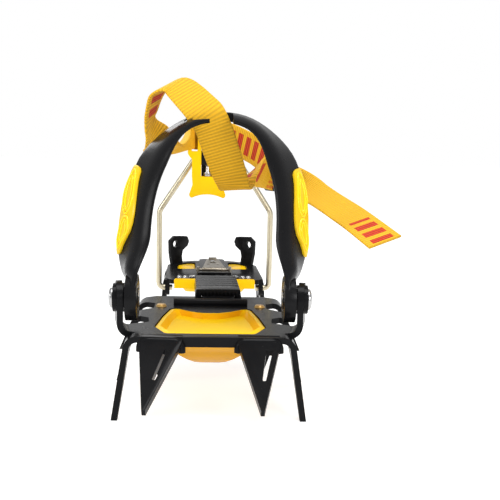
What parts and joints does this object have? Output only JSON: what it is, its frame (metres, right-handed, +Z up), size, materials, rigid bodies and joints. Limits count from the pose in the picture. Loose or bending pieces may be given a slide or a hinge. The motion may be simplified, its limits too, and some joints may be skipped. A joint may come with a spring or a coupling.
{
  "type": "semi-automatic crampon",
  "caption": "Crampon with pressed steel front and heel sections on a sliding bar, a hinged toe bail, a wire heel bail with a lever, and an ankle strap.",
  "frame": {"origin": "on the standing plane of the point tips, under the middle of the crampon's length and width", "axes": "+Y towards the heel, +X towards the wearer's side that the strap's tail leaves on, +Z up"},
  "size_m": [0.1574, 0.322, 0.1758],
  "materials": {
    "black_steel": "satin black coated steel",
    "black_plastic": "satin moulded plastic",
    "yellow_plastic": "glossy moulded plastic",
    "bright_steel": "bright zinc plated",
    "champagne_steel": "drawn spring wire",
    "grey_steel": "dull pressed steel",
    "webbing": "woven polyester"
  },
  "bodies": {
    "front_section": {"front_frame": "black_steel", "front_antiball_plate": "yellow_plastic", "front_plate_rivets": "bright_steel", "pivot_bolts": "bright_steel", "pivot_washers": "black_plastic", "pivot_nuts": "black_steel", "link_bar": "black_steel", "bar_shoe": "black_plastic", "bar_rivets": "bright_steel", "strap_webbing": "webbing", "strap_buckle": "black_steel"},
    "toe_bail": {"toe_bail": "black_plastic", "bail_insert_left": "yellow_plastic", "bail_insert_right": "yellow_plastic"},
    "heel_section": {"heel_frame": "black_steel", "heel_antiball_plate": "yellow_plastic", "heel_rivets": "bright_steel", "bar_guide": "black_steel", "guide_rivets": "bright_steel", "latch_hinge_pin": "bright_steel"},
    "latch": {"latch_plate": "grey_steel", "latch_pin": "bright_steel"},
    "heel_wire": {"heel_wire": "champagne_steel"},
    "lever_slider": {"lever_slider": "black_plastic"},
    "heel_lever": {"heel_lever": "yellow_plastic"},
    "adjust_screw": {"adjust_screw": "bright_steel"}
  },
  "joints": [
    {"name": "toe_bail_swing", "type": "hinge", "parent": "front_section", "child": "toe_bail", "pos_m": [0, -0.0945, 0.06], "axis": [1, 0, 0], "range_deg": [-45, 95], "deforming": ["strap_webbing"]},
    {"name": "heel_slide", "type": "slide", "parent": "front_section", "child": "heel_section", "axis": [-0.0262, 0.9997, 0], "range_m": [-0.01, 0.03], "deforming": ["strap_webbing"]},
    {"name": "latch_lift", "type": "hinge", "parent": "heel_section", "child": "latch", "pos_m": [0.00217, 0.07753, 0.0491], "axis": [0.9997, 0.0262, 0], "range_deg": [-3, 30]},
    {"name": "wire_swing", "type": "hinge", "parent": "heel_section", "child": "heel_wire", "pos_m": [0.00233, 0.07153, 0.037], "axis": [0.9997, 0.0262, 0], "range_deg": [-60, 20], "deforming": ["strap_webbing"]},
    {"name": "lever_turn", "type": "hinge", "parent": "heel_wire", "child": "lever_slider", "pos_m": [-0.00367, 0.07137, 0.131], "axis": [0.9997, 0.0262, 0], "range_deg": [-95, 5], "deforming": ["strap_webbing"]},
    {"name": "lever_adjust", "type": "slide", "parent": "lever_slider", "child": "heel_lever", "axis": [0, 0, 1], "range_m": [-0.0004, 0.0045], "deforming": ["strap_webbing"]},
    {"name": "screw_turn", "type": "hinge", "parent": "heel_lever", "child": "adjust_screw", "pos_m": [-0.00351, 0.06538, 0.12], "axis": [0, 0, 1], "range_deg": [-288, 3240]}
  ],
  "couplings": [
    {"joint": "screw_turn", "follows": "lever_adjust", "rad_per_m": 12566}
  ]
}
